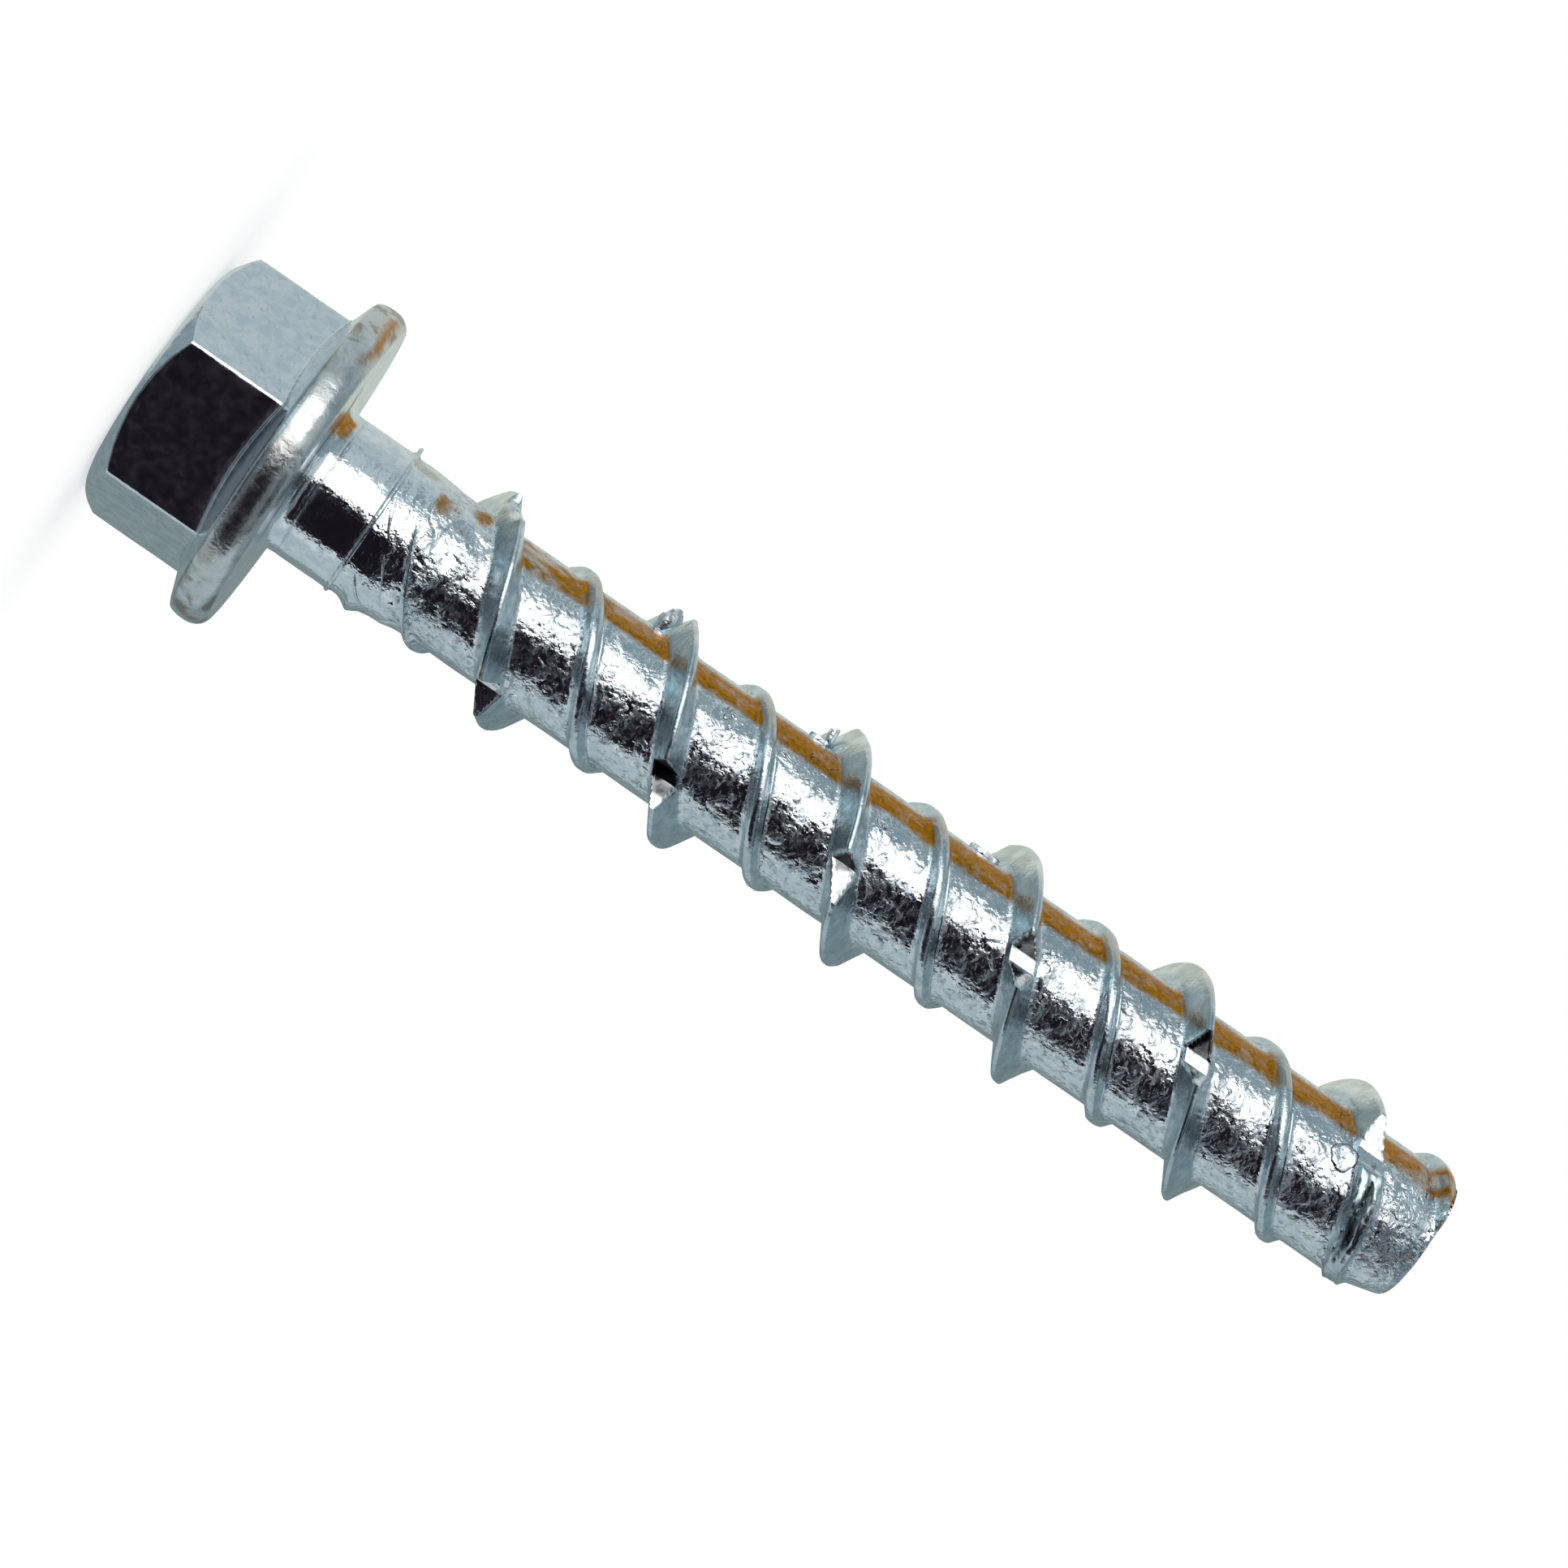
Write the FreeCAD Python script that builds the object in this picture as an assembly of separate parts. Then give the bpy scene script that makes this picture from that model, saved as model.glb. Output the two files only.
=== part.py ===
import FreeCAD, Part
import math
import os

# Concrete screw, one cold formed and rolled piece, in millimetres.
# The origin is the middle of the flange's bearing face. +Z runs along the
# shank to the tip, so the head hangs below the origin, down to its end face.

# Length under the head
under_head_length = 65.0

# Hexagonal head
across_flats = 13.0
head_height = 8.6
crown_flat_diameter = 10.7
crown_radius = 2.2
crown_steps = 3

# Flange formed with the head
flange_diameter = 17.9
bearing_diameter = 16.7
rim_edge_diameter = 17.6
rim_height = 1.85
rim_widest_height = 1.15
flange_slope = 20.5

# Plain shank and the run-out of the rolling
shank_diameter = 7.7
under_head_fillet = 0.6
plain_length = 3.6
bead_rise = 0.2
bead_width = 0.3
runout_length = 4.4

# Rolled core and its blunt tip
core_diameter = 7.15
tip_diameter = 6.1
tip_chamfer_length = 1.4

# Two ridges share one lead, the low one half a lead behind the high one
thread_lead = 10.0
high_crossing = 4.14
high_diameter = 10.2
high_crest_width = 0.26
flank_angle = 25.5
root_radius = 0.5
low_diameter = 8.3
low_crest_width = 0.5
low_base_width = 1.7

# Where the ridges begin and end, as heights above the bearing face
high_start = 7.2
high_run_in = 1.7
high_end = 60.2
tail_end = 63.2
tail_diameter = 8.6
tail_groove_depth = 0.35
low_start = 3.9
low_fade = 1.1

# Cutting notches across the high ridge, three to each group
first_notch_angle = 185.0
group_turn = 340.8
notch_steps = (0.0, 123.0, 232.0)
notch_groups = 6
notch_floor_radius = 3.85
notch_floor_width = 0.8
notch_face_angle = 30.0
notch_ramp_angle = 42.0

# Sizes that follow from the ones above
core_radius = core_diameter / 2
sunk_radius = core_radius - 0.3
high_radius = high_diameter / 2
low_radius = low_diameter / 2
bearing_radius = bearing_diameter / 2
low_crossing = high_crossing - thread_lead / 2


def at(radius, height):
    """A point of a half section, out along +X."""
    return FreeCAD.Vector(radius, 0, height)


def straight(points):
    """Straight edges joining the points in turn."""
    return [Part.makeLine(a, b) for a, b in zip(points, points[1:])]


def revolved(edges):
    """Solid of revolution about the screw's axis."""
    face = Part.Face(Part.Wire(edges))
    return face.revolve(FreeCAD.Vector(0, 0, 0), FreeCAD.Vector(0, 0, 1), 360)


def hexagonal_head():
    """Hexagonal prism, its end turned to a crown that rounds the corners."""
    corner_radius = across_flats / math.sqrt(3)
    corners = []
    for corner in range(7):
        turn = math.radians(60 * corner)
        x = corner_radius * math.cos(turn)
        y = corner_radius * math.sin(turn)
        corners.append(FreeCAD.Vector(x, y, -head_height))
    section = Part.Face(Part.makePolygon(corners))
    prism = section.extrude(FreeCAD.Vector(0, 0, head_height - rim_height / 2))
    flat_radius = crown_flat_diameter / 2
    outline = [at(0, -rim_height / 3), at(0, -head_height)]
    for step in range(crown_steps + 1):
        lean = math.radians(90 * step / crown_steps)
        outline.append(at(
            flat_radius + crown_radius * math.sin(lean),
            crown_radius * (1 - math.cos(lean)) - head_height,
        ))
    outline += [at(flat_radius + crown_radius, -rim_height / 3), outline[0]]
    edges = straight(outline)
    return prism.common(revolved(edges))


def flange():
    """Flange with a rounded rim, sloping up to the hexagon."""
    rim_edge = at(rim_edge_diameter / 2, -rim_height)
    slope_rise = rim_edge_diameter / 2 * math.tan(math.radians(flange_slope))
    top = at(0, -rim_height - slope_rise)
    rim = Part.Arc(
        rim_edge,
        at(flange_diameter / 2, -rim_widest_height),
        at(bearing_radius, 0),
    ).toShape()
    edges = [Part.makeLine(top, rim_edge), rim]
    edges += straight([at(bearing_radius, 0), at(0, 0), top])
    return revolved(edges)


def shank_and_core():
    """Plain shank with its fillet, rolling bead, run-out, core and tip."""
    shank_radius = shank_diameter / 2
    fillet_middle = under_head_fillet * (1 - math.sqrt(0.5))
    fillet = Part.Arc(
        at(shank_radius + under_head_fillet, 0),
        at(shank_radius + fillet_middle, fillet_middle),
        at(shank_radius, under_head_fillet),
    ).toShape()
    runout_end = plain_length + bead_width + runout_length
    edges = [fillet]
    edges += straight([
        at(shank_radius, under_head_fillet),
        at(shank_radius, plain_length),
        at(shank_radius + bead_rise, plain_length + bead_width / 2),
        at(shank_radius, plain_length + bead_width),
        at(core_radius, runout_end),
        at(core_radius, under_head_length - tip_chamfer_length),
        at(tip_diameter / 2, under_head_length),
        at(0, under_head_length),
        at(0, -rim_height / 2),
        at(shank_radius + under_head_fillet, -rim_height / 2),
        at(shank_radius + under_head_fillet, 0),
    ])
    return revolved(edges)


def ring_of(points):
    """Closed half-section through pairs of radius and half width."""
    lower = [at(radius, -half_width) for radius, half_width in points]
    upper = [at(radius, half_width) for radius, half_width in reversed(points)]
    return Part.makePolygon(lower + upper + lower[:1])


def high_section():
    """Half-section of the high ridge, spreading at its foot like a fillet."""
    lean = math.tan(math.radians(flank_angle))
    spread = math.tan(math.radians(flank_angle * 2))
    half_crest = high_crest_width / 2
    foot = core_radius + root_radius / 2
    foot_width = half_crest + (high_radius - foot) * lean
    return ring_of([
        (sunk_radius, foot_width + (foot - sunk_radius) * spread),
        (foot, foot_width),
        (high_radius, half_crest),
    ])


def tail_section():
    """Half-section of the unfilled end of the high ridge, split by a groove."""
    tail_radius = tail_diameter / 2
    lean = math.tan(math.radians(flank_angle + 6))
    half_top = (high_crest_width + high_diameter * lean - tail_diameter * lean) / 2
    return ring_of([
        (sunk_radius, half_top + (tail_radius - sunk_radius) * lean),
        (tail_radius, half_top),
        (tail_radius, half_top / 2),
        (tail_radius - tail_groove_depth, half_top / 8),
    ])


def low_section():
    """Half-section of the low ridge with a blunt crest."""
    half_crest = low_crest_width / 2
    shoulder = low_radius - low_crest_width / 3
    lean = (low_base_width / 2 - half_crest) / (shoulder - core_radius)
    sunk_width = half_crest + (shoulder - sunk_radius) * lean
    return Part.makePolygon([
        at(sunk_radius, -sunk_width),
        at(shoulder, -half_crest),
        at(low_radius, 0),
        at(shoulder, half_crest),
        at(sunk_radius, sunk_width),
        at(sunk_radius, -sunk_width),
    ])


def ridge(section, crossing, start, end):
    """Right-hand ridge from one height to another, on the core."""
    path = Part.makeHelix(thread_lead, end - start, core_radius)
    solid = Part.Wire(path.Edges).makePipeShell([section], True, True)
    turn = (start - crossing) / thread_lead * 360
    solid.rotate(FreeCAD.Vector(0, 0, 0), FreeCAD.Vector(0, 0, 1), turn)
    solid.translate(FreeCAD.Vector(0, 0, start))
    return solid


def envelope(points):
    """Turned outline that a ridge is kept inside, so that it fades at its ends."""
    low_end = at(0, points[0].z)
    high_end_point = at(0, points[-1].z)
    return revolved(straight([low_end] + points + [high_end_point, low_end]))


def high_ridge():
    """High cutting ridge, rising out of the core over its run-in."""
    past_crest = high_radius + 0.3
    body = ridge(high_section(), high_crossing, high_start, high_end)
    keep = envelope([
        at(sunk_radius, high_start - high_run_in),
        at(core_radius, high_start),
        at(past_crest, high_start + high_run_in),
        at(past_crest, under_head_length),
    ])
    return body.common(keep)


def tail_ridge():
    """Low, split end of the high ridge near the tip."""
    begin = high_end - thread_lead / 36
    past_crest = tail_diameter / 2 + 0.1
    body = ridge(tail_section(), high_crossing, begin, tail_end)
    keep = envelope([
        at(past_crest, begin - thread_lead / 5),
        at(past_crest, tail_end - 1.4),
        at(core_radius - 0.1, tail_end + 0.6),
    ])
    return body.common(keep)


def low_ridge():
    """Low guiding ridge between the turns of the high one."""
    past_crest = low_radius + 0.1
    body = ridge(low_section(), low_crossing, low_start, under_head_length)
    keep = envelope([
        at(past_crest, plain_length),
        at(past_crest, under_head_length - low_fade),
        at(tip_diameter / 2, under_head_length),
    ])
    return body.common(keep)


def notch(angle):
    """Cutter for one notch: steep cutting face, flat floor, gentler ramp."""
    height = high_crossing + thread_lead * angle / 360
    half_floor = notch_floor_width / 2
    outside = high_radius + 0.4
    rise = outside - notch_floor_radius
    face_reach = half_floor + rise * math.tan(math.radians(notch_face_angle))
    ramp_reach = half_floor + rise * math.tan(math.radians(notch_ramp_angle))
    half_length = thread_lead / 6
    floor = notch_floor_radius
    outline = Part.Face(Part.makePolygon([
        FreeCAD.Vector(floor, -half_floor, -half_length),
        FreeCAD.Vector(floor, half_floor, -half_length),
        FreeCAD.Vector(outside, ramp_reach, -half_length),
        FreeCAD.Vector(outside, -face_reach, -half_length),
        FreeCAD.Vector(floor, -half_floor, -half_length),
    ]))
    cutter = outline.extrude(FreeCAD.Vector(0, 0, 2 * half_length))
    cutter.rotate(FreeCAD.Vector(0, 0, 0), FreeCAD.Vector(0, 0, 1), angle)
    cutter.translate(FreeCAD.Vector(0, 0, height))
    return cutter


def notches():
    """All the notches, group by group along the high ridge."""
    cutters = []
    for group in range(notch_groups):
        for step in notch_steps:
            angle = first_notch_angle + group * group_turn + step
            height = high_crossing + thread_lead * angle / 360
            if height < high_end + thread_lead / 20:
                cutters.append(notch(angle))
    return cutters


def concrete_screw():
    """The whole screw as one solid."""
    cutters = notches()
    body = shank_and_core().fuse([flange(), hexagonal_head()])
    body = body.fuse(high_ridge().cut(cutters))
    body = body.fuse(tail_ridge().cut(cutters[-1:]))
    body = body.fuse(low_ridge())
    return body.removeSplitter().Solids[0]


screw = concrete_screw()
os.makedirs("parts", exist_ok=True)
screw.exportStep("parts/concrete_screw.step")
print("solids", len(screw.Solids), "valid", screw.isValid(), "volume", round(screw.Volume, 1))
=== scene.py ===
import bpy
import math
import numpy as np
from mathutils import Matrix, Vector

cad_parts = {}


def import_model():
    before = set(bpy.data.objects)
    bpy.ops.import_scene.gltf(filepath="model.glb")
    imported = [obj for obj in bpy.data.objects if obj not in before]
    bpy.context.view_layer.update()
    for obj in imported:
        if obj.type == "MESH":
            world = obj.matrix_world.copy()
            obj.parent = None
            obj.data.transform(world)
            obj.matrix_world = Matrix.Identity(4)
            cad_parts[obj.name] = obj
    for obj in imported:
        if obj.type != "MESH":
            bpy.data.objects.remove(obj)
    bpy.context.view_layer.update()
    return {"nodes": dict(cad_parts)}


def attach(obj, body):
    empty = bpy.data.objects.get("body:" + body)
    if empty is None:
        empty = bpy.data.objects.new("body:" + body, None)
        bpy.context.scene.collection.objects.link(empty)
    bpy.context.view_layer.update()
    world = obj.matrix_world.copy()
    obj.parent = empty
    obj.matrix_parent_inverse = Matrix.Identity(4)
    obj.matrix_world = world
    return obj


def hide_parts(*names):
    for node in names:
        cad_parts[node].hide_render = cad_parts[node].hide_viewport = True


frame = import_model()
scene = bpy.context.scene
MM = 0.001

# Lengths are in millimetres and angles in degrees. An azimuth is an angle about
# the screw's axis. A turn is the azimuth of a ridge's crest, counted on past 360.

# Sizes shared with the solid. The crossing is the height of the high ridge's
# crest at azimuth 0
LEAD = 10.0
DEGREES_PER_MM = 360 / LEAD
CROSSING = 4.14
HIGH_RADIUS, HIGH_HALF_CREST, FLANK_ANGLE = 5.1, 0.13, 25.5
LOW_RADIUS = 4.15
SHANK_RADIUS, CORE_RADIUS, TIP_RADIUS = 3.85, 3.575, 3.0
UNDER_HEAD_FILLET = 0.6
HEAD_END, TIP_END = -8.6, 65.0
HEX_HALF_WIDTH = 6.5
RIM_RADIUS, RIM_HEIGHT = 8.8, 1.85
FLANGE_SLOPE = 20.5

# The hexagon is turned a little from the solid's, and its corners are rounded
HEX_TURN, HEX_CORNER_RADIUS = -2.0, 0.32
# Radii of the head's crown, and its heights over the end face there
CROWN_RADII = (5.35, 5.6, 5.85, 6.15, 6.46, 6.77, 7.08, 7.3, 7.5)
CROWN_HEIGHTS = (0.0, 0.02, 0.07, 0.17, 0.33, 0.55, 0.80, 0.98, 1.15)
# Radii and heights of the flange's rounded rim, down to the bearing face
RIM = (
    (8.74, -1.84), (8.82, -1.74), (8.88, -1.58), (8.92, -1.38),
    (8.938, -1.15), (8.93, -0.92), (8.91, -0.7), (8.85, -0.5),
    (8.76, -0.32), (8.64, -0.17), (8.5, -0.06), (8.36, -0.005),
)
SLOPE_END_RADIUS, WIDEST_RADIUS = 8.66, 8.939

# Heights where the rings of the neck pass into the helical grid, where the
# bead is that ends the plain shank, where the run-out to the core starts and
# ends, where the high ridge loses its height and where the chamfer starts
NECK_TOP = 3.3
BEAD_HEIGHT = 3.77
RUN_OUT_START, RUN_OUT_END = 3.9, 8.4
HIGH_END = 60.7
CHAMFER_START = 62.7

# Azimuths of the side that faces the camera and of the picture's upper edge
CAMERA_SIDE = 255.0
UPPER_SIDE = 167.0

# Flow lines on the run-out: first height, rise in a full turn, thickness,
# width and the degrees that each one spans
FLOW_LINES = (
    (3.95, 2.35, 0.05, 0.10, 200),
    (4.3, 3.8, 0.045, 0.09, 230),
    (5.0, 4.5, 0.03, 0.10, 210),
)

# Turns of the cutting notches, with the shifts of single ones from their row
NOTCHES = [
    185.0 + 340.8 * group + step
    for group in range(6) for step in (0.0, 123.0, 232.0)
]
for index, shift in (
    (4, -4.6), (7, -0.8), (10, -2.9), (13, 4.8), (11, 6.0), (14, 20.0),
):
    NOTCHES[index] += shift
NOTCHES = [turn for turn in NOTCHES if CROSSING + turn / DEGREES_PER_MM < HIGH_END]
LAST_NOTCH = len(NOTCHES) - 1
NOTCHES[LAST_NOTCH] = 2017.0
# Notches with painted shade on their steep face, the one with painted shade on its floor
# too, and the one without a floor, whose gentler side starts at the foot of the steep face
SHADED_NOTCHES, SHADED_FLOOR_NOTCH, FLOORLESS_NOTCH = (1, 4, 7, 10, 13), 4, 7
FLOOR_RADIUS, FLOOR_HALF_WIDTH = 3.85, 0.33
FACE_ANGLE, LAST_FACE_ANGLE = 39.0, 58.0
RAMP_ANGLE, FLOORLESS_RAMP_ANGLE = 42.0, 54.0
FIRST_FLOOR_RADIUS = 4.5

# Turns where the low, unfilled tail of the high ridge starts and is gone
TAIL_START, TAIL_GONE = 2014, 2165


# Noise
def lattice(ix, iy, iz, seed):
    """Hashed value from -1 to 1 at the points of a grid of whole numbers."""
    h = (ix * 374761393 + iy * 668265263 + iz * 2147483647 + seed * 1274126177) & 0xFFFFFFFF
    h = ((h ^ (h >> 13)) * 1274126177) & 0xFFFFFFFF
    h = ((h ^ (h >> 16)) * 2246822519) & 0xFFFFFFFF
    return ((h ^ (h >> 15)) & 0xFFFFFF) / float(0xFFFFFF) * 2 - 1


def noise(x, y, z, grain, seed=0):
    """Smooth value noise from -1 to 1, of the given grain."""
    p = [np.asarray(v, float) / grain for v in (x, y, z)]
    i = [np.floor(v).astype(np.int64) for v in p]
    f = [v - w for v, w in zip(p, i)]
    f = [v * v * v * (v * (v * 6 - 15) + 10) for v in f]
    out = 0
    for dx in (0, 1):
        for dy in (0, 1):
            for dz in (0, 1):
                weight = f[0] if dx else 1 - f[0]
                weight = weight * (f[1] if dy else 1 - f[1])
                weight = weight * (f[2] if dz else 1 - f[2])
                out = out + weight * lattice(i[0] + dx, i[1] + dy, i[2] + dz, seed)
    return out


def ramp(v, a, b):
    """0 up to a, 1 from b on, smooth between them."""
    t = np.clip((v - a) / (b - a), 0, 1)
    return t * t * (3 - 2 * t)


def hump(v, middle, width):
    """1 at a middle value, falling off to both sides of it."""
    return np.exp(-((v - middle) / width) ** 2)


def soft_max(a, b, k):
    """The larger of two values, blended where they are closer than k."""
    h = np.clip(0.5 + 0.5 * (a - b) / k, 0, 1)
    return b * (1 - h) + a * h + k * h * (1 - h)


def soft_min(a, b, k):
    return -soft_max(-a, -b, k)


# Thread
def around(phi, centre, half):
    """1 at an azimuth, falling to 0 at half degrees from it."""
    away = (phi - centre + 180) % 360 - 180
    return 1 - ramp(np.abs(away), 0, half)


def circle(phi, radius):
    return radius * np.cos(np.radians(phi)), radius * np.sin(np.radians(phi))


def base_radius(phi, z):
    """Shank with its bead, run-out and core with the blunt tip."""
    r = SHANK_RADIUS + (CORE_RADIUS - SHANK_RADIUS) * ramp(z, RUN_OUT_START, RUN_OUT_END)
    bead = hump(z, BEAD_HEIGHT + 0.2 * np.maximum(np.cos(np.radians(phi - CAMERA_SIDE)), 0), 0.07)
    x, y = circle(phi, 4)
    r = r + bead * (0.05 + 0.3 * around(phi, UPPER_SIDE, 10) + 0.05 * noise(x, y, z * 0, 0.9, 3))
    # a shallow step down behind the bead
    r = r - 0.05 * ramp(z, 3.85, 3.95) * (1 - ramp(z, 4.2, 5.0))
    # the blunt tip, drawn in towards its end
    chamfer = np.clip((z - CHAMFER_START) / 2.3, 0, 1)
    return r - (CORE_RADIUS - TIP_RADIUS) * chamfer ** 1.1


def rolled_radius(phi, x, y, z):
    """The base with the waves, the dents and the rough run-out of the rolling."""
    base = base_radius(phi, z)
    base = base + 0.012 * noise(x, y, z * 0.6, 1.1, 11) + 0.008 * noise(x, y, z, 0.45, 12)
    rough = ramp(z, 5.8, 6.8) * (1 - ramp(z, 9.2, 10.4)) * ramp(around(phi, 225, 95), 0, 0.5)
    torn = noise(x, y, z, 0.32, 13) + 0.8 * noise(x, y, z, 0.75, 14)
    return base + rough * (0.05 * torn - 0.05 * ramp(torn, 0.3, 0.9))


def with_low_ridge(r, x, y, z, v, low_turn):
    """Adds the low ridge, weak in the run-out and full from the first turn on."""
    grow = 0.3 + 0.7 * ramp(low_turn, 250, 400)
    foot = SHANK_RADIUS - 0.06
    top = foot + (LOW_RADIUS - SHANK_RADIUS + 0.06) * ramp(low_turn, 215, 470)
    top = top + 0.03 * noise(x, y, z, 1.6, 21)
    side = np.abs((v + 0.05 * noise(x, y, z, 1.3, 22)) / grow)
    low = top - ramp(side, 0.1, 1.3) - 0.2 * ramp(side, 0.04, 0.5)
    low = np.where(low_turn < 0, 0, low)
    # it ends as a rounded hump on the tip's chamfer
    past = np.maximum(z - 63.4, 0) / 1.62
    low = np.minimum(low, 3.15 + 0.95 * np.sqrt(np.clip(1 - past ** 2, 0, 1)))
    r = soft_max(r, low, 0.12)
    # crease along its upper side, left by the rolling
    crease = hump(v, 0.55, 0.07) * ramp(low_turn, 300, 380)
    return r - 0.03 * crease * (0.6 + 0.4 * noise(x, y, z, 1.0, 23))


def with_flow_lines(r, phi, z):
    """Adds the run-out's flow lines and the two swellings under it."""
    past = (phi - UPPER_SIDE) % 360
    for start, rise, height, width, span in FLOW_LINES:
        amount = (past < span) * ramp(past, 0, 20) * (1 - ramp(past, span - 40, span))
        r = r + height * amount * hump(z, start + rise * past / 360, width)
    under = around(phi, 350, 85)
    swelling = under * hump(z, 4.95 + under * 0.2, 0.48) * 0.36
    swelling = swelling + around(phi, 345, 70) * hump(z, 6.7, 0.5) * 0.12
    return r + swelling


def high_profile(u, lean):
    """Radius of the high ridge at a distance u along the axis from its crest."""
    a = np.abs(u)
    flank = HIGH_RADIUS - (a - HIGH_HALF_CREST) / np.tan(np.radians(lean))
    crest = HIGH_RADIUS - 0.35 * (a / 0.22) ** 2 * 0.12
    return soft_min(flank, crest, 0.1)


def with_high_ridge(r, x, y, z, u, turn):
    """Adds the high ridge with a rising start and a low tail, split by a groove.
    Also returns the painted shade in the groove."""
    narrow = 1 + 0.7 * ramp(turn, 2060, 2140)
    lean = FLANK_ANGLE + 0.8 * noise(x, y, z, 2.5, 32)
    top = high_profile(u * narrow + 0.02 * noise(x, y, z, 1.2, 31), lean)
    top = top + 0.02 * noise(x, y, z, 0.9, 33)
    # it rises out of the run-out, and drops after the last notch
    start = 3.4 + 1.8 * ramp(turn, 85, 168) ** 1.3
    end = 5.2 - 0.98 * ramp(turn, 2016, 2020) - 0.35 * ramp(turn, 2090, 2135)
    top = np.minimum(top, np.minimum(start, end))

    tail = ramp(turn, TAIL_START, TAIL_START + 10)
    arc, zero = turn * 0.068, 0 * u
    middle = -(0.04 + 0.16 * noise(arc, zero, zero, 1.3, 34))
    groove = hump(u * narrow, middle, 0.17)
    groove = groove * ramp(turn, 2034, 2044) * (1 - ramp(turn, 2088, 2108))
    streak = noise(arc * 0.7, u * 4, zero, 0.7, 35) + 0.5 * noise(arc, u * 3, zero, 0.3, 37)
    depth = groove * (0.42 + 0.2 * noise(arc, zero, zero, 0.7, 36))
    top = top - tail * (depth + 0.06 * streak * ramp(turn, 2030, 2042))
    top = top - 0.7 * ramp(turn, TAIL_GONE - 33, TAIL_GONE)
    top = np.where((turn < 80) | (turn > TAIL_GONE), 0, top)
    # painted shade in the groove, streaked
    painted_shade = tail * groove * np.clip(0.75 + 0.5 * streak, 0.2, 0.95)
    return soft_max(r, top, 0.3), np.where(turn > 2030, painted_shade, 0.0)


def plane(reach, slant):
    """Radius where a sloping plane is met, and far out where it never is."""
    return np.where(slant > 1e-3, reach / np.maximum(slant, 1e-3), 99)


def cut_notches(r, painted_shade, x, y, z, u, turn):
    """Cuts the notches into a surface, paints shade into some of them and returns a mask
    of the metal that is cut."""
    fresh = np.zeros_like(r)
    for index, centre in enumerate(NOTCHES):
        near = (np.abs(turn - centre) < 30) & (np.abs(u) < 1.75)
        if not near.any():
            continue
        d = np.radians((turn - centre)[near])
        nx, ny, nz = x[near], y[near], z[near]
        last, floorless = index == LAST_NOTCH, index == FLOORLESS_NOTCH
        face_tan = math.tan(math.radians(LAST_FACE_ANGLE if last else FACE_ANGLE))
        ramp_tan = math.tan(math.radians(FLOORLESS_RAMP_ANGLE if floorless else RAMP_ANGLE))
        wobble = 0.02 * noise(nx, ny, nz, 0.5, 41)
        floor = (FIRST_FLOOR_RADIUS if index == 0 else FLOOR_RADIUS) / np.cos(d) + wobble
        reach = FLOOR_RADIUS * face_tan - (0 if last else FLOOR_HALF_WIDTH)
        face = plane(reach, np.sin(d) + np.cos(d) * face_tan)
        if last:
            rise = FLOOR_RADIUS + 6 * (d - 0.19)
        else:
            reach = FLOOR_HALF_WIDTH if floorless else -FLOOR_HALF_WIDTH
            rise = plane(FLOOR_RADIUS * ramp_tan + reach, np.cos(d) * ramp_tan - np.sin(d))
        cut = np.maximum(floor, np.maximum(face, rise + wobble))
        # a burr stands along the notch's lips
        lip = 0.05 * hump(np.abs(d), 0.27, 0.04)
        old = r[near]
        new = np.minimum(old + lip * (old > 4.6), cut)
        # displaced metal spreads over the core on both sides of the notch
        spread = hump(np.abs(u[near]), 1.25, 0.28) * hump(d, 0.02, 0.13)
        r[near] = new + 0.07 * spread * (new < FLOOR_RADIUS)
        cut_here = ramp(old - cut, 0.02, 0.12)
        fresh[near] = np.maximum(fresh[near], cut_here)
        if index not in SHADED_NOTCHES:
            continue
        # painted shade, near black, on the steep face
        shade = cut_here * (face > floor) * (face > rise) * (d < 0)
        shade = shade * (0.93 + 0.07 * noise(nx, ny, nz, 0.25, 42))
        # painted shade in a torn pattern on this notch's floor too
        if index == SHADED_FLOOR_NOTCH:
            torn = np.clip(0.90 + 0.25 * noise(nx, ny, nz * 0.3, 0.28, 43), 0.5, 1)
            torn = torn * cut_here * (1 - ramp(rise - floor, 0.5, 0.75))
            shade = np.maximum(shade, torn)
        painted_shade[near] = np.maximum(painted_shade[near], shade)
    return fresh


def body_radius(phi, z):
    """Radius of the screw's surface at an azimuth and a height, with masks of
    the ridges, the freshly cut metal and the painted shade."""
    # distances along the axis from the crests of the high and the low ridge
    u = (z - CROSSING - phi / DEGREES_PER_MM + LEAD / 2) % LEAD - LEAD / 2
    turn = (z - CROSSING - u) * DEGREES_PER_MM
    v = (u + LEAD) % LEAD - LEAD / 2
    low_turn = (z - (CROSSING - LEAD / 2) - v) * DEGREES_PER_MM
    # the unfilled tail falls behind the helix
    u = u + ramp(turn, 2030, 2140) * (turn < 2200)
    x, y = circle(phi, 3.6)
    base = rolled_radius(phi, x, y, z)
    before = with_flow_lines(with_low_ridge(base, x, y, z, v, low_turn), phi, z)
    r, painted_shade = with_high_ridge(before, x, y, z, u, turn)
    on_high = ramp(r - before, 0.02, 0.25)
    fresh = cut_notches(r, painted_shade, x, y, z, u, turn)
    on_low = ramp(r - base, 0.02, 0.2) * ramp(low_turn, 250, 400) * (1 - on_high)
    return r, np.maximum(on_high, 0.75 * on_low), fresh, painted_shade


def surface(phi, z):
    return body_radius(np.asarray(phi, float), np.asarray(z, float))[0]


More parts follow.
